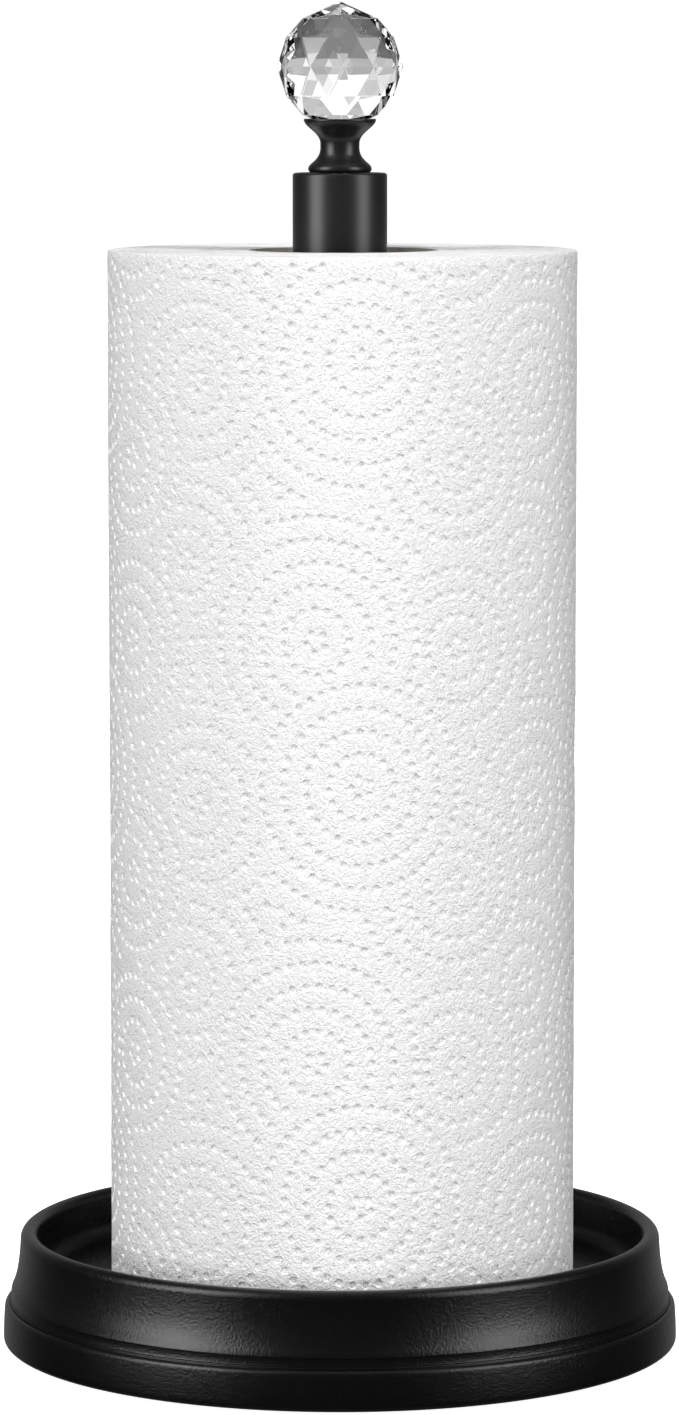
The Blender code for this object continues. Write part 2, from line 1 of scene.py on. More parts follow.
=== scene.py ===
# Paper towel holder: the visible pieces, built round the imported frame.
# Sizes in the dictionaries are in mm, but those of the camera, the lights and the floor are in metres.
import math
import random

import bmesh
import bpy
from mathutils import Matrix, Vector, geometry, noise


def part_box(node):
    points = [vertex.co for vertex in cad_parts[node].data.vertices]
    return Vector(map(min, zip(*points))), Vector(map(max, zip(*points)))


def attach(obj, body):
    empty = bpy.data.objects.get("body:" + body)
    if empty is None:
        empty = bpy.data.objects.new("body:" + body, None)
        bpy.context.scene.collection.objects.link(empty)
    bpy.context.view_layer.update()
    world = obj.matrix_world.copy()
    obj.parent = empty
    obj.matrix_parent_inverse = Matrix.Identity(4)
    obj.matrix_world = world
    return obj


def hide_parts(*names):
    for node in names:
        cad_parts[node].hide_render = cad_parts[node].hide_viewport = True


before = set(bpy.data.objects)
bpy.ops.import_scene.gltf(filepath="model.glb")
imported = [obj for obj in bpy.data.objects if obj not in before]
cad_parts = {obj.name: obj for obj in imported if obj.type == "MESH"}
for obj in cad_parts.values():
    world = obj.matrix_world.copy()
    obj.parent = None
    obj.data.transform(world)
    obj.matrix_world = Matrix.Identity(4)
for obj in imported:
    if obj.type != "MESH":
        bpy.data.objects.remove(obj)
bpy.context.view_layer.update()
mm = 0.001
sharpFrom = 38.0  # degrees between faces that don't shade smoothly into each other
print("frame loaded:", len(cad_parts), "nodes")


class Wire:  # an output socket that adds maths nodes when it is used in an expression
    def __init__(self, graph, socket):
        self.graph = graph
        self.socket = socket

    def maths(self, operation, *terms):
        return self.graph.add("ShaderNodeMath", {"operation": operation}, dict(enumerate(terms)))

    def __add__(self, other):
        return self.maths("ADD", self, other)

    def __sub__(self, other):
        return self.maths("SUBTRACT", self, other)

    def __rsub__(self, other):
        return self.maths("SUBTRACT", other, self)

    def __mul__(self, other):
        return self.maths("MULTIPLY", self, other)

    def __truediv__(self, other):
        return self.maths("DIVIDE", self, other)

    def __rtruediv__(self, other):
        return self.maths("DIVIDE", other, self)

    def __lt__(self, other):
        return self.maths("LESS_THAN", self, other)

    def __gt__(self, other):  # also what "number < wire" turns into
        return self.maths("GREATER_THAN", self, other)

    __radd__ = __add__
    __rmul__ = __mul__


class Graph:  # a node tree, for shaders and for geometry
    def __init__(self, tree):
        self.tree = tree

    def pick(self, sockets, key):  # by place, or by name among the sockets that are switched on
        live = [socket for socket in sockets if socket.enabled]
        return live[key] if isinstance(key, int) else next(s for s in live if s.name == key)

    def add(self, kind, settings=None, sockets=None, out=0):
        node = self.tree.nodes.new(kind)
        for setting, value in (settings or {}).items():
            setattr(node, setting, value)
        for key, value in (sockets or {}).items():
            socket = self.pick(node.inputs, key)
            if isinstance(value, Wire):
                self.tree.links.new(value.socket, socket)
            elif socket.type == "RGBA":
                socket.default_value = (*value[:3], 1.0)
            else:
                socket.default_value = value
        return Wire(self, self.pick(node.outputs, out)) if len(node.outputs) else node

    def outOf(self, wire, name):  # another output of the same node
        return Wire(self, self.pick(wire.socket.node.outputs, name))


def shaderGraph(name):
    material = bpy.data.materials.new(name)
    material.use_nodes = True
    material.node_tree.nodes.clear()
    return material, Graph(material.node_tree)


def geometryGraph(name, inputs):  # inputs: name, socket type
    tree = bpy.data.node_groups.new(name, "GeometryNodeTree")
    tree.interface.new_socket("Geometry", in_out="OUTPUT", socket_type="NodeSocketGeometry")
    tree.interface.new_socket("Geometry", in_out="INPUT", socket_type="NodeSocketGeometry")
    for label, kind in inputs:
        tree.interface.new_socket(label, in_out="INPUT", socket_type="NodeSocket" + kind)
    graph = Graph(tree)
    entry = graph.add("NodeGroupInput")
    return graph, entry


def runTree(piece, graph, values):  # turns the evaluated result into a plain mesh
    modifier = piece.modifiers.new("build", "NODES")
    modifier.node_group = graph.tree
    for item in graph.tree.interface.items_tree:
        if item.in_out == "INPUT" and item.name in values:
            modifier[item.identifier] = values[item.name]
    evaluated = piece.evaluated_get(bpy.context.evaluated_depsgraph_get())
    mesh = bpy.data.meshes.new_from_object(evaluated)
    piece.modifiers.remove(modifier)
    piece.data = mesh


def ringTree():  # the same shape, spaced evenly round a circle
    graph, entry = geometryGraph("ringOfCopies", [("Count", "Int"), ("Circle radius", "Float"),
                                                  ("Material", "Material")])
    circle = graph.add("GeometryNodeMeshCircle", {}, {"Vertices": graph.outOf(entry, "Count"),
                                                      "Radius": graph.outOf(entry, "Circle radius")})
    copies = graph.add("GeometryNodeInstanceOnPoints", {}, {"Points": circle, "Instance": entry})
    solid = graph.add("GeometryNodeRealizeInstances", {}, {"Geometry": copies})
    coloured = graph.add("GeometryNodeSetMaterial", {}, {"Geometry": solid,
                                                         "Material": graph.outOf(entry, "Material")})
    graph.add("NodeGroupOutput", {}, {"Geometry": coloured})
    return graph


def rowTree():  # the same shape, repeated along a line and joined where the copies meet
    graph, entry = geometryGraph("rowOfCopies", [("Count", "Int"), ("Step", "Vector"),
                                                 ("Join distance", "Float"), ("Material", "Material")])
    line = graph.add("GeometryNodeMeshLine", {}, {"Count": graph.outOf(entry, "Count"),
                                                  "Offset": graph.outOf(entry, "Step")})
    copies = graph.add("GeometryNodeInstanceOnPoints", {}, {"Points": line, "Instance": entry})
    solid = graph.add("GeometryNodeRealizeInstances", {}, {"Geometry": copies})
    joined = graph.add("GeometryNodeMergeByDistance", {}, {"Geometry": solid,
                                                           "Distance": graph.outOf(entry, "Join distance")})
    coloured = graph.add("GeometryNodeSetMaterial", {}, {"Geometry": joined,
                                                         "Material": graph.outOf(entry, "Material")})
    graph.add("NodeGroupOutput", {}, {"Geometry": coloured})
    return graph


# rough: the smoothest spots, grain: size of the coat's texture, cloud: size of its uneven patches
blackCoats = {
    "powderCoat": {"dark": 0.001, "pale": 0.002, "rough": 0.21, "roughSpread": 0.1, "grain": 0.7,
                   "cloud": 14.0, "depth": 0.13, "strength": 0.9, "specular": 0.46},
    "postSatin": {"dark": 0.006, "pale": 0.010, "rough": 0.31, "roughSpread": 0.07, "grain": 0.55,
                  "cloud": 22.0, "depth": 0.015, "strength": 0.35, "specular": 0.5},
    "finialSatin": {"dark": 0.005, "pale": 0.009, "rough": 0.30, "roughSpread": 0.06, "grain": 0.4,
                    "cloud": 9.0, "depth": 0.010, "strength": 0.3, "specular": 0.5},
    "coverPlate": {"dark": 0.012, "pale": 0.020, "rough": 0.50, "roughSpread": 0.12, "grain": 0.8,
                   "cloud": 30.0, "depth": 0.05, "strength": 0.6, "specular": 0.35},
}
coatMix = {"grain": 0.45, "cloud": 0.55}  # how much each texture counts in the colour and roughness


def blackCoat(name, look):
    material, graph = shaderGraph(name)
    place = graph.add("ShaderNodeTexCoord", out="Object")
    grain = graph.add("ShaderNodeTexNoise", {}, {"Vector": place, "Scale": 1 / (look["grain"] * mm),
                                                 "Detail": 3.0, "Roughness": 0.6})
    cloud = graph.add("ShaderNodeTexNoise", {}, {"Vector": place, "Scale": 1 / (look["cloud"] * mm),
                                                 "Detail": 2.0})
    blend = grain * coatMix["grain"] + cloud * coatMix["cloud"]
    colour = graph.add("ShaderNodeMix", {"data_type": "RGBA"},
                       {"Factor": blend, "A": [look["dark"]] * 3, "B": [look["pale"]] * 3})
    bump = graph.add("ShaderNodeBump", {}, {"Strength": look["strength"], "Distance": look["depth"] * mm,
                                            "Height": grain})
    shader = graph.add("ShaderNodeBsdfPrincipled", {}, {
        "Base Color": colour, "Roughness": blend * look["roughSpread"] + look["rough"],
        "Specular IOR Level": look["specular"], "Normal": bump})
    graph.add("ShaderNodeOutputMaterial", {}, {"Surface": shader})
    return material


metals = {
    "zincPlate": {"dark": (0.42, 0.44, 0.46), "pale": (0.62, 0.63, 0.62), "rough": 0.2, "patch": 2.2},
    "ballastIron": {"dark": (0.10, 0.095, 0.09), "pale": (0.19, 0.18, 0.17), "rough": 0.5, "patch": 5.0},
}
metalScuffs = {"size": 0.5, "depth": 0.03, "roughSpread": 0.25}


def bareMetal(name, look):
    material, graph = shaderGraph(name)
    place = graph.add("ShaderNodeTexCoord", out="Object")
    patches = graph.add("ShaderNodeTexVoronoi", {"feature": "SMOOTH_F1"},
                        {"Vector": place, "Scale": 1 / (look["patch"] * mm)}, out="Distance")
    scuffs = graph.add("ShaderNodeTexNoise", {}, {"Vector": place, "Scale": 1 / (metalScuffs["size"] * mm),
                                                  "Detail": 4.0})
    colour = graph.add("ShaderNodeMix", {"data_type": "RGBA"},
                       {"Factor": patches, "A": look["dark"], "B": look["pale"]})
    bump = graph.add("ShaderNodeBump", {}, {"Strength": 0.3, "Distance": metalScuffs["depth"] * mm,
                                            "Height": scuffs})
    shader = graph.add("ShaderNodeBsdfPrincipled", {}, {
        "Base Color": colour, "Metallic": 1.0, "Normal": bump,
        "Roughness": scuffs * metalScuffs["roughSpread"] + look["rough"]})
    graph.add("ShaderNodeOutputMaterial", {}, {"Surface": shader})
    return material


paperLooks = {  # crepe: width and length of the creasing, fibre: size of single fibres
    "sheet": {"dark": 0.75, "pale": 0.96, "crepe": (0.9, 1.2), "fibre": 0.5, "depth": 1.6, "strength": 1.0},
    # the ends' paper is darker than the sheet's: partly the end grain's own tone, partly painted shade that
    # holds the roll's top face down under the strong top light
    "ends": {"dark": 0.57, "pale": 0.78, "crepe": (1.4, 1.4), "fibre": 0.3, "depth": 0.1, "strength": 0.5},
}
paperMix = {  # how much creasing, fibres and thicker patches count; patch: size of those patches
    "colour": {"crepe": 0.3, "fibre": 0.3, "density": 0.4}, "bump": {"crepe": 0.6, "fibre": 0.4},
    "patch": 4.0,
}


def paper(name, look, ownMap):
    material, graph = shaderGraph(name)
    if ownMap:
        place = graph.add("ShaderNodeUVMap", {"uv_map": "sheetMap"})
    else:
        place = graph.add("ShaderNodeTexCoord", out="Object")
    wide, tall = look["crepe"]
    stretched = graph.add("ShaderNodeMapping", {}, {
        "Vector": place, "Scale": (1 / (wide * mm), 1 / (tall * mm), 1 / (wide * mm))})
    crepe = graph.add("ShaderNodeTexNoise", {}, {"Vector": stretched, "Scale": 1.0, "Detail": 2.0,
                                                 "Distortion": 0.6})
    fibre = graph.add("ShaderNodeTexNoise", {}, {"Vector": place, "Scale": 1 / (look["fibre"] * mm),
                                                 "Detail": 3.0, "Roughness": 0.65})
    density = graph.add("ShaderNodeTexNoise", {}, {"Vector": place, "Scale": 1 / (paperMix["patch"] * mm),
                                                   "Detail": 3.0})
    shares = paperMix["colour"]
    blend = crepe * shares["crepe"] + fibre * shares["fibre"] + density * shares["density"]
    colour = graph.add("ShaderNodeMix", {"data_type": "RGBA"},
                       {"Factor": blend, "A": [look["dark"]] * 3, "B": [look["pale"]] * 3})
    shares = paperMix["bump"]
    bump = graph.add("ShaderNodeBump", {}, {"Strength": look["strength"], "Distance": look["depth"] * mm,
                                            "Height": crepe * shares["crepe"] + fibre * shares["fibre"]})
    shader = graph.add("ShaderNodeBsdfPrincipled", {}, {
        "Base Color": colour, "Roughness": 0.95, "Specular IOR Level": 0.15, "Sheen Weight": 0.1,
        "Sheen Roughness": 0.5, "Normal": bump})
    graph.add("ShaderNodeOutputMaterial", {}, {"Surface": shader})
    return material


cardboardLook = {  # seam: where the strips of the wound tube meet
    "dark": (0.26, 0.245, 0.225), "pale": (0.47, 0.45, 0.42), "seamPitch": 76.0, "seamWidth": 0.9,
    "fibre": 0.3, "fleck": 1.3, "fibreShare": 0.6, "fleckShare": 0.4, "seamShade": 0.3, "depth": 0.15,
    "fibreRise": 0.4, "seamDip": 0.6,
}


def cardboard(name, look, axisX):
    material, graph = shaderGraph(name)
    place = graph.add("ShaderNodeTexCoord", out="Object")
    centred = graph.add("ShaderNodeMapping", {}, {"Vector": place, "Location": (-axisX, 0, 0)})
    across = graph.add("ShaderNodeSeparateXYZ", {}, {"Vector": centred}, out="X")
    back = graph.outOf(across, "Y")
    height = graph.outOf(across, "Z")
    turnShare = back.maths("ARCTAN2", back, across) / (2 * math.pi)
    along = height / (look["seamPitch"] * mm) - turnShare  # one step for each turn of the wound strip
    nearSeam = along.maths("PINGPONG", along, 0.5) < look["seamWidth"] / look["seamPitch"]
    fibre = graph.add("ShaderNodeTexNoise", {}, {"Vector": centred, "Scale": 1 / (look["fibre"] * mm),
                                                 "Detail": 4.0})
    flecks = graph.add("ShaderNodeTexNoise", {}, {"Vector": centred, "Scale": 1 / (look["fleck"] * mm),
                                                  "Detail": 1.0})
    blend = fibre * look["fibreShare"] + flecks * look["fleckShare"] - nearSeam * look["seamShade"]
    colour = graph.add("ShaderNodeMix", {"data_type": "RGBA"},
                       {"Factor": blend, "A": look["dark"], "B": look["pale"]})
    relief = fibre * look["fibreRise"] - nearSeam * look["seamDip"]
    bump = graph.add("ShaderNodeBump", {}, {"Strength": 0.6, "Distance": look["depth"] * mm,
                                            "Height": relief})
    shader = graph.add("ShaderNodeBsdfPrincipled", {}, {"Base Color": colour, "Roughness": 0.9,
                                                        "Specular IOR Level": 0.2, "Normal": bump})
    graph.add("ShaderNodeOutputMaterial", {}, {"Surface": shader})
    return material


crystalLook = {"dark": (0.97, 0.98, 0.98), "pale": (1.0, 1.0, 1.0), "patch": 6.0, "depth": 0.01,
               "bend": 1.5}


def cutCrystal(name, look):
    material, graph = shaderGraph(name)
    place = graph.add("ShaderNodeTexCoord", out="Object")
    polish = graph.add("ShaderNodeTexNoise", {}, {"Vector": place, "Scale": 1 / (look["patch"] * mm),
                                                  "Detail": 1.0})
    tint = graph.add("ShaderNodeMix", {"data_type": "RGBA"},
                     {"Factor": polish, "A": look["dark"], "B": look["pale"]})
    bump = graph.add("ShaderNodeBump", {}, {"Strength": 0.08, "Distance": look["depth"] * mm,
                                            "Height": polish})
    shader = graph.add("ShaderNodeBsdfPrincipled", {}, {
        "Base Color": tint, "Roughness": 0.0, "IOR": look["bend"], "Transmission Weight": 1.0,
        "Normal": bump})
    graph.add("ShaderNodeOutputMaterial", {}, {"Surface": shader})
    return material


softLooks = {  # through: how much light passes
    "footSilicone": {"dark": (0.62, 0.63, 0.64), "pale": (0.74, 0.75, 0.76), "rough": 0.25,
                     "through": 0.45},
    "ballCement": {"dark": (0.80, 0.80, 0.78), "pale": (0.92, 0.92, 0.90), "rough": 0.02,
                   "through": 0.85},
}
softHaze = {"size": 1.5, "depth": 0.05, "roughSpread": 0.2}


def softClear(name, look):
    material, graph = shaderGraph(name)
    place = graph.add("ShaderNodeTexCoord", out="Object")
    haze = graph.add("ShaderNodeTexNoise", {}, {"Vector": place, "Scale": 1 / (softHaze["size"] * mm),
                                                "Detail": 3.0})
    colour = graph.add("ShaderNodeMix", {"data_type": "RGBA"},
                       {"Factor": haze, "A": look["dark"], "B": look["pale"]})
    bump = graph.add("ShaderNodeBump", {}, {"Strength": 0.3, "Distance": softHaze["depth"] * mm,
                                            "Height": haze})
    shader = graph.add("ShaderNodeBsdfPrincipled", {}, {
        "Base Color": colour, "Roughness": haze * softHaze["roughSpread"] + look["rough"], "IOR": 1.42,
        "Transmission Weight": look["through"], "Normal": bump})
    graph.add("ShaderNodeOutputMaterial", {}, {"Surface": shader})
    return material


def arcPoints(centre, radius, start, end, steps):  # degrees
    angles = [math.radians(start + (end - start) * step / steps) for step in range(steps + 1)]
    return [(centre[0] + radius * math.cos(angle), centre[1] + radius * math.sin(angle))
            for angle in angles]


def curvePoints(corners, steps):  # a cubic curve through its four corners, without the first
    points = []
    for step in range(1, steps + 1):
        t = step / steps
        weights = ((1 - t) ** 3, 3 * t * (1 - t) ** 2, 3 * t * t * (1 - t), t ** 3)
        points.append(tuple(sum(weight * corner[axis] for weight, corner in zip(weights, corners))
                            for axis in (0, 1)))
    return points


def newPiece(name, bm, material=None, smooth=True, sharp=sharpFrom):
    mesh = bpy.data.meshes.new(name)
    bm.to_mesh(mesh)
    bm.free()
    piece = bpy.data.objects.new(name, mesh)
    bpy.context.scene.collection.objects.link(piece)
    if material:
        mesh.materials.append(material)
    if smooth:
        mesh.shade_smooth()
        mesh.set_sharp_from_angle(angle=math.radians(sharp))
    return piece


def turned(name, profile, steps, material=None, centre=(0.0, 0.0)):
    # a closed profile in mm, spun round an upright axis; a point on the axis becomes a pole
    bm = bmesh.new()
    rings = []
    for radius, height in profile:
        if radius == 0:  # on the axis
            rings.append([bm.verts.new((centre[0], centre[1], height * mm))] * steps)
            continue
        ring = []
        for step in range(steps):
            angle = 2 * math.pi * step / steps
            ring.append(bm.verts.new((centre[0] + radius * mm * math.cos(angle),
                                      centre[1] + radius * mm * math.sin(angle), height * mm)))
        rings.append(ring)
    for lower, upper in zip(rings, rings[1:] + rings[:1]):
        for step in range(steps):
            after = (step + 1) % steps
            corners = []
            for vert in (lower[step], lower[after], upper[after], upper[step]):
                if vert not in corners:
                    corners.append(vert)
            if len(corners) > 2:
                bm.faces.new(corners)
    bmesh.ops.recalc_face_normals(bm, faces=bm.faces[:])
    return newPiece(name, bm, material)


def settle(piece, body, slot, *nodes):  # rides on its body and stands for its CAD nodes
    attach(piece, body)
    if nodes:
        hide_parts(*nodes)


def repaint(node, material):  # a CAD node that keeps its shape
    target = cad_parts[node]
    if not target.material_slots:
        raise ValueError(node + " has no material slot")
    for place in target.material_slots:
        place.material = material


# tilt: degrees downward; lens and sensor in mm
cameraPlace = {"location": (-0.000107, -1.5701, 0.3492), "tilt": 6.36, "lens": 148.36, "sensor": 36.0}


def makeCamera():
    data = bpy.data.cameras.new("camera")
    data.lens = cameraPlace["lens"]
    data.sensor_width = cameraPlace["sensor"]
    camera = bpy.data.objects.new("camera", data)
    camera.location = cameraPlace["location"]
    camera.rotation_euler = (math.radians(90.0 - cameraPlace["tilt"]), 0.0, 0.0)
    bpy.context.scene.collection.objects.link(camera)
    bpy.context.scene.camera = camera


# turn: degrees from straight in front, plus to the right; aim: height that the box faces;
# serves: surface for the light that falls on the object, gloss for what is only mirrored
lights = [
    {"name": "leftStrip", "turn": -59.0, "distance": 1.7, "height": 1.06, "aim": 1.06, "wide": 0.95,
     "tall": 1.9, "power": 33.0, "serves": "gloss"},
    {"name": "rightStrip", "turn": 59.0, "distance": 1.7, "height": 1.06, "aim": 1.06, "wide": 0.85,
     "tall": 1.9, "power": 23.0, "serves": "gloss"},
    {"name": "topBox", "turn": -14.0, "distance": 1.5, "height": 3.2, "aim": 0.2, "wide": 0.9,
     "tall": 0.9, "power": 71.0, "serves": "surface"},
    {"name": "frontBox", "turn": -8.0, "distance": 1.5, "height": 0.15, "aim": 0.17, "wide": 0.4,
     "tall": 0.4, "power": 13.3, "serves": "surface"},
    {"name": "leftBox", "turn": -62.0, "distance": 2.0, "height": 1.4, "aim": 0.17, "wide": 0.6,
     "tall": 0.6, "power": 20.0, "serves": "surface"},
    {"name": "rightBox", "turn": 62.0, "distance": 2.0, "height": 1.4, "aim": 0.17, "wide": 0.6,
     "tall": 0.6, "power": 30.5, "serves": "surface"},
    {"name": "backBox", "turn": 176.0, "distance": 1.6, "height": 0.3, "aim": 0.17, "wide": 0.6,
     "tall": 0.6, "power": 26.0, "serves": "surface"},
]


def makeLights():
    for box in lights:
        data = bpy.data.lights.new(box["name"], "AREA")
        data.shape = "RECTANGLE"
        data.size = box["wide"]
        data.size_y = box["tall"]
        data.energy = box["power"]
        light = bpy.data.objects.new(box["name"], data)
        turn = math.radians(box["turn"])
        distance = box["distance"]
        light.location = (distance * math.sin(turn), -distance * math.cos(turn), box["height"])
        towards = Vector((0.0, 0.0, box["aim"])) - light.location
        light.rotation_euler = towards.to_track_quat("-Z", "Y").to_euler()
        light.visible_diffuse = box["serves"] == "surface"
        light.visible_glossy = box["serves"] == "gloss"
        light.visible_transmission = box["serves"] == "gloss"
        bpy.context.scene.collection.objects.link(light)


# strengths; each fade says where it starts and ends, then how strong it is at both
backdrop = {
    "seen": 1.0, "fill": 0.21,
    "horizon": ((-0.3, 0.05), (0.02, 0.065)), "behind": ((0.6, 0.97), (0.0, 0.22)),
    "over": ((0.7, 1.0), (0.0, 0.3)), "under": ((-0.35, -0.9), (0.0, 0.12)),
    "crystal": ((-0.28, 0.34), (0.03, 1.25)), "patches": 5.0, "patchShade": ((0.4, 0.62), (0.35, 1.0)),
}


def fade(graph, value, places, kind="SMOOTHSTEP"):
    (start, end), (low, high) = places
    return graph.add("ShaderNodeMapRange", {"interpolation_type": kind},
                     {"Value": value, "From Min": start, "From Max": end, "To Min": low, "To Max": high})


def makeWorld():  # white to look at, dim where the black coats mirror it, patchy through the ball
    world = bpy.data.worlds.new("studio")
    world.use_nodes = True
    world.node_tree.nodes.clear()
    graph = Graph(world.node_tree)
    bpy.context.scene.world = world
    direction = graph.add("ShaderNodeTexCoord", out="Generated")
    height = graph.add("ShaderNodeSeparateXYZ", {}, {"Vector": direction}, out="Z")
    mirrored = fade(graph, height, backdrop["horizon"])
    behind = fade(graph, graph.outOf(height, "Y"), backdrop["behind"])
    over = fade(graph, height, backdrop["over"])
    under = fade(graph, height, backdrop["under"])
    steady = fade(graph, height, backdrop["crystal"])
    patches = graph.add("ShaderNodeTexNoise", {}, {"Vector": direction, "Scale": backdrop["patches"],
                                                   "Detail": 0.0})
    shade = fade(graph, patches, backdrop["patchShade"], "LINEAR")
    rays = graph.add("ShaderNodeLightPath", out="Is Camera Ray")
    strength = rays * backdrop["seen"] + graph.outOf(rays, "Is Diffuse Ray") * backdrop["fill"]
    strength = strength + graph.outOf(rays, "Is Glossy Ray") * (mirrored + over + under + behind)
    strength = strength + graph.outOf(rays, "Is Transmission Ray") * steady * shade
    shader = graph.add("ShaderNodeBackground", {}, {"Color": (1.0, 1.0, 1.0), "Strength": strength})
    graph.add("ShaderNodeOutputWorld", {}, {"Surface": shader})


# drop: how far it lies below the feet
paleFloor = {"shade": 0.6, "glow": 0.95, "halfWidth": 30.0, "drop": 0.0003}


def makeFloor():
    material, graph = shaderGraph("paleFloor")
    diffuse = graph.add("ShaderNodeBsdfDiffuse", {}, {"Color": [paleFloor["shade"]] * 3})
    glow = graph.add("ShaderNodeEmission", {}, {"Color": (1.0, 1.0, 1.0), "Strength": paleFloor["glow"]})
    lit = graph.add("ShaderNodeAddShader", {}, {0: diffuse, 1: glow})
    graph.add("ShaderNodeOutputMaterial", {}, {"Surface": lit})
    bm = bmesh.new()
    bmesh.ops.create_grid(bm, x_segments=4, y_segments=4, size=paleFloor["halfWidth"])
    bmesh.ops.translate(bm, verts=bm.verts[:], vec=(0, 0, -paleFloor["drop"]))
    floor = newPiece("floor", bm, material, smooth=False)
    floor.visible_glossy = False
    floor.visible_diffuse = False
    floor.visible_transmission = False


makeCamera()
makeLights()
makeWorld()
makeFloor()
bpy.context.scene.view_settings.view_transform = "Standard"
bpy.context.scene.view_settings.look = "None"
print("camera, lights and floor made")


dish = {
    "lipInset": 4.75, "lipThickness": 4.7, "floorHeight": 18.2, "fillet": 4.0, "floorThickness": 3.0,
    "wall": 3.0, "ledgeHeight": 11.7, "ledgeWidth": 0.85, "ledgeInset": 1.275, "shoulder": 1.3,
    "bandTaper": 0.35, "cove": 3.0, "coveDepth": 0.15, "corner": 1.4, "seatDepth": 1.2, "seatRadius": 13.0,
    "boltHole": 4.3, "hub": 14.0, "hubThickness": 3.5, "coverShelf": 3.7, "bead": 0.28,
    "beadHeight": 11.95, "seatEdge": 0.25, "flareRound": 0.3, "flareRise": 0.1, "skirtEdge": 0.2,
    "innerEdge": 1.0, "steps": 288,
    "floorRings": (0.35, 0.6, 0.8),  # shares of the floor's radius
    "flareCurve": ((0.0, 1.0), (0.1, 0.67), (0.28, 0.3), (0.92, 0.07)),  # shares outward and upward
    # distances outward and upward, from the ledge's inner edge or, for the ease, from the band's top
    "coveProfile": ((0.0, 2.4), (0.0, 1.0), (0.1, 0.65)),
    "grooveProfile": ((0.3, -0.26), (0.42, -0.16)),
    "bandEase": (0.12, -1.2),
}


def dishProfile(band, height, lift):
    lipOut = band - dish["lipInset"]
    lipRound = dish["lipThickness"] / 2
    lipIn = lipOut - dish["lipThickness"]
    ledge = dish["ledgeHeight"]
    ledgeIn = band - dish["ledgeInset"] - dish["ledgeWidth"]
    floorHeight = dish["floorHeight"]
    seat = floorHeight - dish["seatDepth"]
    seatRadius, seatEdge = dish["seatRadius"], dish["seatEdge"]
    flareFoot = ledge + dish["cove"]
    wallTop = height - lipRound
    # top side, from the bolt's hole out over the lip
    points = [(dish["boltHole"], seat), (seatRadius, seat), (seatRadius, floorHeight - seatEdge),
              (seatRadius + seatEdge, floorHeight)]
    points += [(lipIn * share, floorHeight) for share in dish["floorRings"]]
    fillet = dish["fillet"]
    points += arcPoints((lipIn - fillet, floorHeight + fillet), fillet, -90, 0, steps=12)
    points += arcPoints((lipOut - lipRound, wallTop), lipRound, 180, 0, steps=28)
    # flared wall
    flare = ledgeIn - lipOut
    wall = wallTop - flareFoot
    corners = [(lipOut + flare * out, flareFoot + wall * up) for out, up in dish["flareCurve"]]
    points += curvePoints(corners, steps=20)
    flareRound = dish["flareRound"]
    points += arcPoints((ledgeIn - flareRound, flareFoot + dish["flareRise"]), flareRound, 25, -60, steps=4)
    # cove, bead and shoulder
    cove = ledgeIn - dish["coveDepth"]
    points += [(cove + out, ledge + up) for out, up in dish["coveProfile"]]
    points += arcPoints((ledgeIn, dish["beadHeight"]), dish["bead"], 130, -40, steps=6)
    points += [(ledgeIn + out, ledge + up) for out, up in dish["grooveProfile"]]
    shoulder = dish["shoulder"]
    points += arcPoints((band - dish["bandTaper"] - shoulder, ledge - shoulder), shoulder, 90, 6, steps=10)
    # band
    bandTop = points[-1]
    easeOut, easeUp = dish["bandEase"]
    corner = dish["corner"]
    points += curvePoints([bandTop, (bandTop[0] + easeOut, bandTop[1] + easeUp), (band, ledge / 2),
                           (band, lift + corner)], steps=12)
    points += arcPoints((band - corner, lift + corner), corner, 0, -90, steps=8)[1:]
    # inside of the skirt, underside and hub
    seatIn = band - dish["wall"]
    cavity = cove - dish["wall"]
    under = floorHeight - dish["floorThickness"]
    hub, hubBottom = dish["hub"], seat - dish["hubThickness"]
    skirtEdge, innerEdge = dish["skirtEdge"], dish["innerEdge"]
    points += [(seatIn + skirtEdge, lift), (seatIn, lift + skirtEdge), (seatIn, dish["coverShelf"]),
               (cavity, ledge - dish["wall"]), (cavity, under - innerEdge), (cavity - innerEdge, under),
               (hub + innerEdge, under), (hub, under - innerEdge), (hub, hubBottom),
               (dish["boltHole"], hubBottom)]
    return points


def makeBase():
    low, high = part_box("base_shell")
    profile = dishProfile(high.x / mm, high.z / mm, low.z / mm)
    base = turned("baseDish", profile, dish["steps"], blackCoat("powderCoat", blackCoats["powderCoat"]))
    settle(base, "holder", "black_powder_coat", "base_shell")
    repaint("base_cover", blackCoat("coverPlate", blackCoats["coverPlate"]))
    repaint("ballast_ring", bareMetal("ballastIron", metals["ballastIron"]))
    zinc = bareMetal("zincPlate", metals["zincPlate"])
    screws = [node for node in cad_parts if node.startswith("cover_screw")]
    for node in ["post_bolt", "bolt_washer", "spring_washer", "lower_plug", "finial_stud"] + screws:
        repaint(node, zinc)
    print("base made")


pads = {  # shallow grip rings in each pad's face; ribProfile: distance outward and share of the depth
    "corner": 0.6, "topEdge": 0.2, "ribs": 3, "ribDepth": 0.25, "ribStart": 0.6, "ribSpread": 0.4,
    "ribProfile": ((0.0, 0.0), (0.25, 1.0), (0.55, 1.0), (0.8, 0.0)), "steps": 48,
}


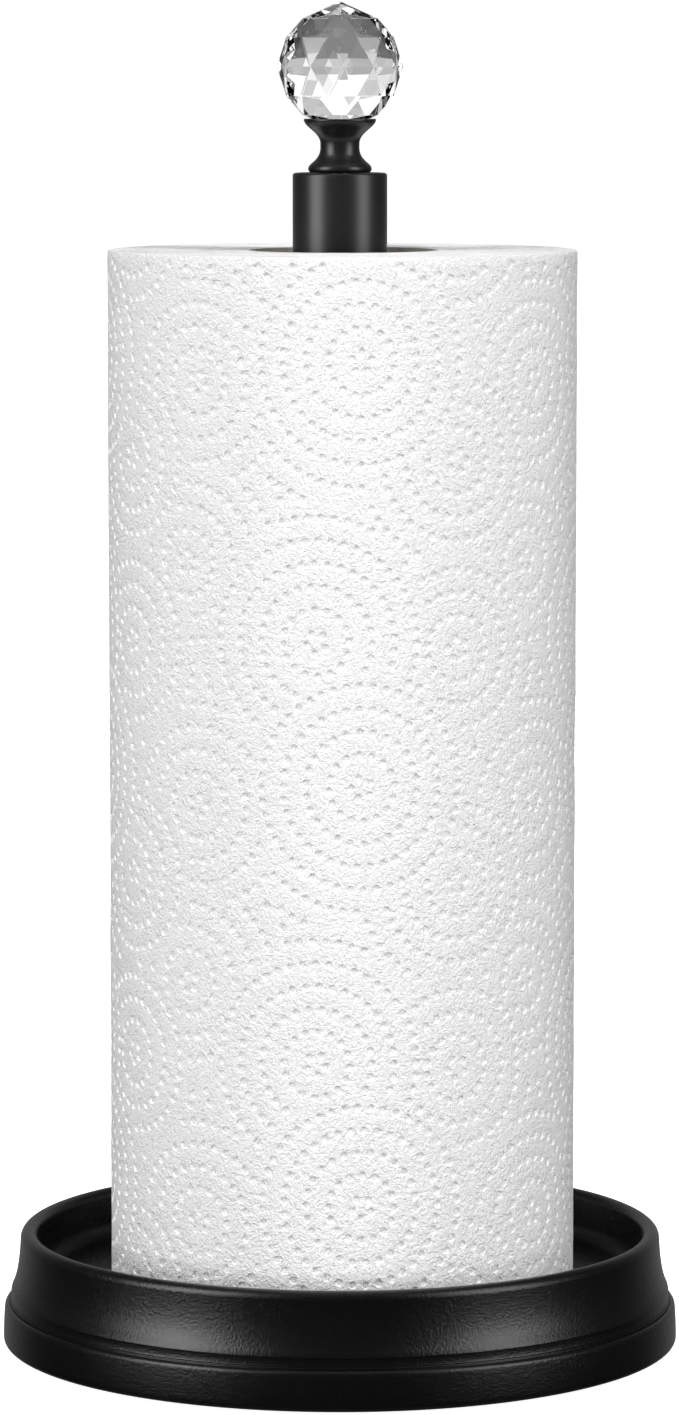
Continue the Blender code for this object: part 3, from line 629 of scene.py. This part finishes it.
def makeFeet():
    names = sorted(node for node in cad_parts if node.startswith("foot_pad"))
    low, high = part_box(names[0])
    radius = (high.y - low.y) / 2 / mm
    height = high.z / mm
    circle = (low.x + high.x) / 2
    corner, edge = pads["corner"], pads["topEdge"]
    profile = [(0.0, 0.0)]
    for rib in range(pads["ribs"]):
        start = (radius - corner) * (rib + pads["ribStart"]) / (pads["ribs"] + pads["ribSpread"])
        profile += [(start + out, share * pads["ribDepth"]) for out, share in pads["ribProfile"]]
    profile += arcPoints((radius - corner, corner), corner, -90, 0, steps=6)
    profile += arcPoints((radius - edge, height - edge), edge, 0, 90, steps=2) + [(0.0, height)]
    pad = turned("footPads", profile, pads["steps"])
    silicone = softClear("footSilicone", softLooks["footSilicone"])
    runTree(pad, ringTree(), {"Count": len(names), "Circle radius": circle, "Material": silicone})
    settle(pad, "holder", "clear_silicone", *names)
    print("feet made")


makeBase()
makeFeet()


post = {"wall": 1.2, "topRound": 0.8, "footEdge": 0.3, "boreEdge": 0.2, "boreTopEdge": 0.1,
        "rings": (0.33, 0.67), "plugGap": 0.06, "plugBore": 3.3, "plugEdge": 0.15, "plugSink": 0.2,
        "steps": 128}


def makePost():
    low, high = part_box("post_tube")
    radius, bottom, top = high.x / mm, low.z / mm, high.z / mm
    bore = radius - post["wall"]
    satin = blackCoat("postSatin", blackCoats["postSatin"])
    boreEdge, footEdge, topRound = post["boreEdge"], post["footEdge"], post["topRound"]
    profile = [(bore, bottom + boreEdge), (bore + boreEdge, bottom), (radius - footEdge, bottom),
               (radius, bottom + footEdge)]
    profile += [(radius, bottom + (top - bottom) * share) for share in post["rings"]]
    profile += arcPoints((radius - topRound, top - topRound), topRound, 0, 90, steps=8)
    profile += [(bore + post["boreTopEdge"], top), (bore, top - post["boreTopEdge"])]
    tube = turned("postTube", profile, post["steps"], satin)
    settle(tube, "holder", "black_satin_post", "post_tube")
    low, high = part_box("upper_plug")
    face, foot = high.z / mm, low.z / mm
    rim = bore - post["plugGap"]
    plugBore, edge, sink = post["plugBore"], post["plugEdge"], post["plugSink"]
    cap = turned("postCap", [(plugBore, foot), (rim, foot), (rim, face - edge), (rim - edge, face),
                             (plugBore + sink, face), (plugBore, face - sink)], post["steps"], satin)
    settle(cap, "holder", "black_satin_post", "upper_plug")
    print("post made")


neck = {  # each ease gives the two middle corners of a flank's curve, as shares of its height
    "footRadius": 8.55, "footRound": 1.0, "waist": 5.25, "lowerFlank": 5.5, "lowerEase": (0.26, 0.33),
    "upperFlank": 6.3, "upperEase": (0.48, 0.67), "rim": 0.4, "cupWall": 0.7, "bore": 3.3,
    "boreDepth": 9.0, "seatGap": 0.27, "cementGap": 0.3, "steps": 112,
    "rimProfile": ((0.03, 0.15), (0.2, 0.0), (0.45, 0.12)),  # distance inward and below the top
}


def makeNeck():
    low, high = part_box("finial_neck")
    bottom, top, cup = low.z / mm, high.z / mm, high.x / mm
    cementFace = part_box("ball_cement")[0].z / mm - neck["cementGap"]
    foot, rounding, waist = neck["footRadius"], neck["footRound"], neck["waist"]
    lowerFlank, upperFlank = neck["lowerFlank"], neck["upperFlank"]
    flankFoot = bottom + rounding
    cupTop = top - neck["rim"]
    waistHigh = cupTop - upperFlank
    seat = bottom - neck["seatGap"]  # the foot all but touches the post's cap
    profile = [(neck["bore"], seat)]
    profile += arcPoints((foot - rounding, seat + rounding), rounding, -90, 0, steps=8)
    first, second = neck["lowerEase"]
    profile += curvePoints([profile[-1], (foot, flankFoot + lowerFlank * first),
                            (waist, flankFoot + lowerFlank * second), (waist, flankFoot + lowerFlank)],
                           steps=20)
    first, second = neck["upperEase"]
    profile += curvePoints([(waist, waistHigh), (waist, waistHigh + upperFlank * first),
                            (cup - neck["rim"], waistHigh + upperFlank * second), (cup, cupTop)], steps=22)
    profile += [(cup - inward, top - below) for inward, below in neck["rimProfile"]]
    cupIn = cup - neck["cupWall"]
    boreTop = bottom + neck["boreDepth"]
    profile += [(cupIn, cupTop), (cupIn - (top - cementFace), cementFace), (0.0, cementFace),
                (0.0, boreTop), (neck["bore"], boreTop)]
    satin = blackCoat("finialSatin", blackCoats["finialSatin"])
    spool = turned("finialNeck", profile, neck["steps"], satin)
    settle(spool, "finial_knob", "black_satin_finial", "finial_neck")
    repaint("ball_cement", softClear("ballCement", softLooks["ballCement"]))
    print("neck made")


ball = {"join": 0.002, "flatWithin": 0.6, "brokenEdge": 0.07}  # flatWithin in degrees


def makeBall():  # the frame's own facets, joined up and with their edges just broken
    bm = bmesh.new()
    bm.from_mesh(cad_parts["crystal_ball"].data)
    bmesh.ops.remove_doubles(bm, verts=bm.verts[:], dist=ball["join"] * mm)
    bmesh.ops.dissolve_limit(bm, angle_limit=math.radians(ball["flatWithin"]), verts=bm.verts[:],
                             edges=bm.edges[:])
    bmesh.ops.bevel(bm, geom=bm.edges[:], offset=ball["brokenEdge"] * mm, segments=1, affect="EDGES",
                    profile=0.5)
    bmesh.ops.recalc_face_normals(bm, faces=bm.faces[:])
    piece = newPiece("crystalBall", bm, cutCrystal("cutCrystal", crystalLook), smooth=False)
    settle(piece, "finial_knob", "clear_crystal", "crystal_ball")
    print("ball made:", len(piece.data.polygons), "faces")


makePost()
makeNeck()
makeBall()


roll = {"core": 24.5, "coreWall": 0.8, "layer": 0.5}

embossing = {  # rings of small round dents that spread from a few centres and cover each other like scales
    "columns": 4, "repeatUp": 111.0, "ringStep": 6.0, "firstRing": 2.7, "spareReach": 14.0, "fewest": 5,
    "dotStep": 3.5, "dotRadius": 1.2, "dotDepth": 0.6, "radiusSpread": (0.94, 1.06),
    "depthSpread": (0.85, 1.1), "clearance": 2.9, "cell": 4.0, "dotMargin": 1.9,
    "dotRings": ((0.62, 6, 0.92), (0.96, 8, 0.06), (1.28, 8, -0.04)),  # reach, points and depth as shares
    # the paper between the dents
    "between": 3.0, "rowShare": 0.87, "shift": 0.3, "betweenDepth": (-0.02, 0.03), "betweenMargin": 1.6,
    "betweenClearance": 1.05, "edgeRows": (0.0, 0.6), "edgeStep": 1.9, "overlap": 9.0, "jog": 0.004,
    "meshWithin": 1e-6,
    # place across as a share of the column, distance below the top, reach of its rings
    "centres": ((0.31, 80.0, 24.0), (0.07, 102.0, 24.0), (0.685, 100.0, 28.0), (0.345, 33.0, 25.0),
                (0.07, 53.0, 24.0), (0.805, 27.0, 30.0)),
}


def ownerOf(x, z, centres, width):  # the last centre that reaches a point, or the nearest if none does
    best, bestGap = None, math.inf
    for index, (across, down, reach) in enumerate(centres):
        dx = (x - across + width / 2) % width - width / 2
        gap = math.hypot(dx, z - down) - reach
        if gap <= 0:
            best, bestGap = index, -math.inf
        elif gap < bestGap:
            best, bestGap = index, gap
    return best


def dotPlaces(width, height):  # dents in one column of the sheet, in mm; z runs down from the top edge
    repeats = range(-1, int(height / embossing["repeatUp"]) + 2)
    centres = [(share * width, down + repeat * embossing["repeatUp"], reach)
               for repeat in repeats for share, down, reach in embossing["centres"]]
    margin = embossing["dotMargin"]
    kept = []
    cells = {}
    for index, (across, down, reach) in reversed(list(enumerate(centres))):
        rings = int((reach + embossing["spareReach"]) / embossing["ringStep"])
        for ring in range(rings + 1):
            radius = embossing["firstRing"] + ring * embossing["ringStep"]
            count = max(embossing["fewest"], round(2 * math.pi * radius / embossing["dotStep"]))
            for step in range(count):
                angle = 2 * math.pi * (step + 0.5 * (ring % 2)) / count + index
                x = (across + radius * math.cos(angle)) % width
                z = down + radius * math.sin(angle)
                if not margin < z < height - margin or ownerOf(x, z, centres, width) != index:
                    continue
                if isFree(x, z, cells, width, embossing["clearance"]):
                    kept.append((x, z))
                    for shift in (-width, 0.0, width):
                        cells.setdefault(cellOf(x + shift, z), []).append((x + shift, z))
    return kept, cells


def cellOf(x, z):  # the square of the search grid that holds a point
    return int(x // embossing["cell"]), int(z // embossing["cell"])


def isFree(x, z, cells, width, clearance):
    for shift in (-width, 0.0, width):
        column, row = cellOf(x + shift, z)
        for cell in [(column + i, row + j) for i in (-1, 0, 1) for j in (-1, 0, 1)]:
            for otherX, otherZ in cells.get(cell, ()):
                if math.hypot(x + shift - otherX, z - otherZ) < clearance:
                    return False
    return True


def columnPoints(width, height):  # (x, z, depth) of every point of one column, x from 0 to width
    dots, cells = dotPlaces(width, height)
    shake = random.Random(7)
    radius, depth = embossing["dotRadius"], embossing["dotDepth"]
    points = []
    for x, z in dots:
        turn = shake.uniform(0, math.pi)
        size = radius * shake.uniform(*embossing["radiusSpread"])
        deep = depth * shake.uniform(*embossing["depthSpread"])
        points.append((x, z, -deep))
        for share, count, part in embossing["dotRings"]:
            reach = size * share
            for step in range(count):
                angle = turn + 2 * math.pi * step / count
                points.append((x + reach * math.cos(angle), z + reach * math.sin(angle), -deep * part))
    rows = int(height / (embossing["between"] * embossing["rowShare"]))
    across = round(width / embossing["between"])
    shift, margin = embossing["shift"], embossing["betweenMargin"]
    clearance = radius + embossing["betweenClearance"]
    for row in range(1, rows):
        z = height * row / rows
        for column in range(across):
            x = width * (column + 0.5 * (row % 2)) / across + shake.uniform(-shift, shift)
            if margin < z < height - margin and isFree(x % width, z, cells, width, clearance):
                shifted = z + shake.uniform(-shift, shift)
                points.append((x, shifted, shake.uniform(*embossing["betweenDepth"])))
    edgeCount = round(width / embossing["edgeStep"])
    for column in range(edgeCount):
        for row, inset in enumerate(embossing["edgeRows"]):
            x = width * (column + 0.5 * (row % 2)) / edgeCount
            points.append((x, inset, 0.0))
            points.append((x, height - inset, 0.0))
    return [(x % width, z, depth) for x, z, depth in points], len(dots)


def makeColumn(width, height):  # one column as a flat mesh whose right side fits its own left side
    points, dotCount = columnPoints(width, height)
    shake = random.Random(11)
    jog, overlap = embossing["jog"], embossing["overlap"]
    flat, depths = [], []
    for x, z, depth in points:
        x += shake.uniform(-jog, jog)
        jogged = z + shake.uniform(-jog, jog)
        onEdge = z in (0.0, height)
        for shift in (-width, 0.0, width):
            if -overlap < x + shift < width + overlap:
                flat.append(Vector((x + shift, z if onEdge else jogged)))
                depths.append(depth)
    within = embossing["meshWithin"]
    verts, _, faces, origins, _, _ = geometry.delaunay_2d_cdt(flat, [], [], 0, within, True)
    bm = bmesh.new()
    made = {}
    for face in faces:
        centre = sum(verts[i].x for i in face) / 3
        if not 0.0 <= centre < width:
            continue
        corners = []
        for i in face:
            if i not in made:
                depth = depths[origins[i][0]]
                made[i] = bm.verts.new((verts[i].x * mm, depth * mm, (height - verts[i].y) * mm))
            corners.append(made[i])
        bm.faces.new(corners)
    print("embossed column:", dotCount, "dents,", len(bm.faces), "faces")
    return newPiece("sheetColumn", bm, smooth=False)


sheet = {  # freeEdge: degrees round the roll; lift: how far the free edge stands off
    "length": 279.4, "gap": 0.3, "thickness": 0.35, "freeEdge": 112.0, "lift": 0.5, "liftReach": 7.0,
    "liftShares": (0.6, 0.4), "liftLength": 30.0, "edgeRound": 0.2, "edgeReach": 0.9, "wave": 0.12,
    "waveLength": 17.0, "innerStep": 6.0, "join": 0.002, "cutWithin": 0.0005, "meshWithin": 1e-6,
    "sharp": 32.0,
}


def sheetPoint(u, depth, z, size):  # from the flat sheet to its place on the roll
    turn = math.radians(sheet["freeEdge"]) + u / size["radius"]
    fromEnd = min(z, size["height"] - z) / mm
    rounding = max(0.0, 1.0 - fromEnd / sheet["edgeReach"]) ** 2 * sheet["edgeRound"]
    fromFree = u / mm / sheet["liftReach"]
    steadyShare, unevenShare = sheet["liftShares"]
    uneven = steadyShare + unevenShare * noise.noise((z / mm / sheet["liftLength"], 3.0, 0.0))
    lift = max(0.0, 1.0 - fromFree) ** 2 * sheet["lift"] * uneven
    wave = noise.noise((u / mm / sheet["waveLength"], z / mm / sheet["waveLength"], 5.0)) * sheet["wave"]
    radius = size["radius"] + depth + (lift + wave - rounding - sheet["wave"]) * mm
    radius -= roll["layer"] * mm * u / size["round"]
    return (size["axis"] + radius * math.cos(turn), radius * math.sin(turn), size["bottom"] + z)


def windOnRoll(bm, size):  # keeps the flat sheet's own map for its material
    bmesh.ops.recalc_face_normals(bm, faces=bm.faces[:])
    mapLayer = bm.loops.layers.uv.new("sheetMap")
    for face in bm.faces:
        for loop in face.loops:
            loop[mapLayer].uv = (loop.vert.co.x, loop.vert.co.z)
    for vert in bm.verts:
        vert.co = sheetPoint(vert.co.x, vert.co.y, vert.co.z, size)


def cutSheet(name, flat, start, end, size, material):  # closed sheet between two lengths, wound on the roll
    bm = bmesh.new()
    bm.from_mesh(flat)
    for place, side in ((start, "clear_inner"), (end, "clear_outer")):
        everything = bm.verts[:] + bm.edges[:] + bm.faces[:]
        bmesh.ops.bisect_plane(bm, geom=everything, dist=sheet["cutWithin"] * mm, plane_co=(place, 0, 0),
                               plane_no=(1, 0, 0), **{side: True})
    bmesh.ops.triangulate(bm, faces=bm.faces[:])
    rim = [edge for edge in bm.edges if edge.is_boundary]
    made = bmesh.ops.extrude_edge_only(bm, edges=rim)["geom"]
    inner = [vert for vert in made if isinstance(vert, bmesh.types.BMVert)]
    for vert in inner:
        vert.co.y = -sheet["thickness"] * mm
    # the plain inner side, which meets the rim point for point
    step = sheet["innerStep"] * mm
    points = [Vector((vert.co.x, vert.co.z)) for vert in inner]
    columns = int((end - start) / step)
    rows = int(size["height"] / step)
    for column in range(1, columns):
        for row in range(1, rows):
            points.append(Vector((start + (end - start) * column / columns, size["height"] * row / rows)))
    within = sheet["meshWithin"] * mm
    verts, _, faces, origins, _, _ = geometry.delaunay_2d_cdt(points, [], [], 0, within, True)
    backs = {}
    for face in faces:
        for i in face:
            if i not in backs:
                source = origins[i][0]
                if source < len(inner):
                    backs[i] = inner[source]
                else:
                    backs[i] = bm.verts.new((verts[i].x, -sheet["thickness"] * mm, verts[i].y))
        corners = {backs[i] for i in face}
        if len(corners) == 3:
            bm.faces.new([backs[i] for i in face])
    windOnRoll(bm, size)
    piece = newPiece(name, bm, material, sharp=sheet["sharp"])
    print(name, "made:", len(piece.data.polygons), "faces")
    return piece


ties = {"step": 3.2, "tall": 1.1, "thickness": 0.22, "reach": 0.9, "waist": 0.7, "sink": 0.05,
        "firstAt": 2.0, "endSpace": 2.5}


def makeTies(size, start, material):  # the small bridges left between the cuts of the tear line
    half = sheet["gap"] * mm * ties["reach"]
    bm = bmesh.new()
    bmesh.ops.create_grid(bm, x_segments=2, y_segments=2, size=0.5)
    for vert in bm.verts:
        narrow = ties["waist"] if abs(vert.co.x) < 0.25 else 1.0  # only the middle row is narrower
        height = vert.co.y * narrow * ties["tall"] + ties["firstAt"]
        vert.co = (start + 2 * half * vert.co.x, -ties["sink"] * mm, height * mm)
    strip = newPiece("tearTies", bm, smooth=False)
    count = int((size["height"] / mm - ties["endSpace"]) / ties["step"])
    runTree(strip, rowTree(), {"Count": count, "Step": (0.0, 0.0, ties["step"] * mm), "Join distance": 0.0,
                               "Material": material})
    bm = bmesh.new()
    bm.from_mesh(strip.data)
    bmesh.ops.solidify(bm, geom=bm.faces[:], thickness=ties["thickness"] * mm)
    windOnRoll(bm, size)
    bm.to_mesh(strip.data)
    bm.free()
    settle(strip, "paper_roll", "white_paper_sheet")
    print("tear line made:", count, "ties")


def makeSheets():
    low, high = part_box("outer_sheet")
    size = {"radius": (high.x - low.x) / 2, "height": high.z - low.z, "axis": (high.x + low.x) / 2,
            "bottom": low.z}
    size["round"] = 2 * math.pi * size["radius"]
    columnWidth = size["round"] / embossing["columns"]
    column = makeColumn(columnWidth / mm, size["height"] / mm)
    white = paper("sheetPaper", paperLooks["sheet"], True)
    runTree(column, rowTree(), {"Count": embossing["columns"] + 2, "Step": (columnWidth, 0.0, 0.0),
                                "Join distance": sheet["join"] * mm, "Material": white})
    flat = column.data
    flat.transform(Matrix.Translation((-columnWidth, 0.0, 0.0)))
    half = sheet["gap"] * mm / 2
    tear = sheet["length"] * mm
    first = cutSheet("sheetFirst", flat, 0.0, tear - half, size, white)
    second = cutSheet("sheetSecond", flat, tear + half, size["round"], size, white)
    bpy.data.objects.remove(column)
    makeTies(size, tear, white)
    settle(first, "paper_roll", "white_paper_sheet", "outer_sheet")
    settle(second, "paper_roll", "white_paper_sheet", "outer_sheet")


winding = {  # depths are measured inward from the roll's ends; scales: how quickly the unevenness changes
    "steps": 120, "innerGap": 0.15, "wobble": 0.22, "wobbleScales": (2.0, 0.15), "layerDepth": 0.22,
    "valleyDepth": 0.5, "rimDepth": 0.35, "roughness": 0.12, "roughnessScale": 3.0, "join": 0.004,
    "shortest": 0.002, "rimWithin": 0.2, "sharp": 70.0,
}


def makeWinding():  # both ends show the wound layers' edges, as one spiral
    low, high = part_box("paper_winding")
    axis = (low.x + high.x) / 2
    outer = (high.x - low.x) / 2
    inner = (roll["core"] + roll["coreWall"] + winding["innerGap"]) * mm
    steps = winding["steps"]
    roundScale, layerScale = winding["wobbleScales"]
    layers = int((outer - inner) / (roll["layer"] * mm)) + 2
    uneven = random.Random(3)
    heights = [uneven.uniform(-winding["layerDepth"], 0.0) for _ in range(layers + 2)]
    bm = bmesh.new()
    for end, outward in ((high.z, 1), (low.z, -1)):
        grid = []
        for step in range(steps):
            turn = 2 * math.pi * step / steps
            row = []
            for j in range(3 * layers + 1):  # three points for each layer, the first in a valley
                layer = (j - 3) / 3 + step / steps
                wobble = noise.noise((math.cos(turn) * roundScale, math.sin(turn) * roundScale,
                                      layer * layerScale + outward)) * winding["wobble"]
                radius = inner + (layer * roll["layer"] + wobble) * mm
                held = min(max(radius, inner), outer)
                if held != radius:
                    depth = -winding["rimDepth"]
                elif j % 3 == 0:
                    depth = -winding["valleyDepth"]
                else:
                    rough = noise.noise((turn * winding["roughnessScale"], layer, 0))
                    depth = heights[j // 3] + winding["roughness"] * rough
                row.append(bm.verts.new((axis + held * math.cos(turn), held * math.sin(turn),
                                         end + outward * depth * mm)))
            grid.append(row)
        for step in range(steps):
            here, there = grid[step], grid[(step + 1) % steps]
            shift = 3 if step == steps - 1 else 0  # the spiral goes on one layer further out
            for j in range(3 * layers - shift):
                corners = [here[j], there[j + shift], there[j + 1 + shift], here[j + 1]]
                bm.faces.new(corners if outward < 0 else corners[::-1])
    bmesh.ops.remove_doubles(bm, verts=bm.verts[:], dist=winding["join"] * mm)
    bmesh.ops.dissolve_degenerate(bm, edges=bm.edges[:], dist=winding["shortest"] * mm)
    for wall in (inner, outer):
        rim = [edge for edge in bm.edges if edge.is_boundary
               and all(abs(math.hypot(v.co.x - axis, v.co.y) - wall) < winding["rimWithin"] * mm
                       for v in edge.verts)]
        bmesh.ops.bridge_loops(bm, edges=rim)
    bmesh.ops.recalc_face_normals(bm, faces=bm.faces[:])
    # darker end paper: part end grain, part painted shade on the roll's top face
    endPaper = paper("endPaper", paperLooks["ends"], False)
    piece = newPiece("paperWinding", bm, endPaper, sharp=winding["sharp"])
    print("winding made:", len(piece.data.polygons), "faces")
    settle(piece, "paper_roll", "white_paper", "paper_winding")


coreEnd = {  # three plies show at each end: distance outward in plies and inward along the axis
    "plies": ((0.0, 0.25), (0.5, 0.0), (1.5, 0.05), (2.0, 0.3), (2.5, 0.0), (3.6, 0.06), (4.0, 0.3)),
    "steps": 96,
}


def makeCore():
    low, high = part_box("roll_core")
    axis = (low.x + high.x) / 2
    ply = roll["coreWall"] / 4
    profile = []
    for end, away, order in ((low.z / mm, 1, 1), (high.z / mm, -1, -1)):
        rim = [(roll["core"] + ply * out, end + away * inward) for out, inward in coreEnd["plies"]]
        profile += rim[::order]
    core = turned("rollCore", profile, coreEnd["steps"], cardboard("cardboard", cardboardLook, axis),
                  (axis, 0.0))
    settle(core, "roll_core", "grey_cardboard", "roll_core")
    print("core made")


makeCore()
makeWinding()
makeSheets()
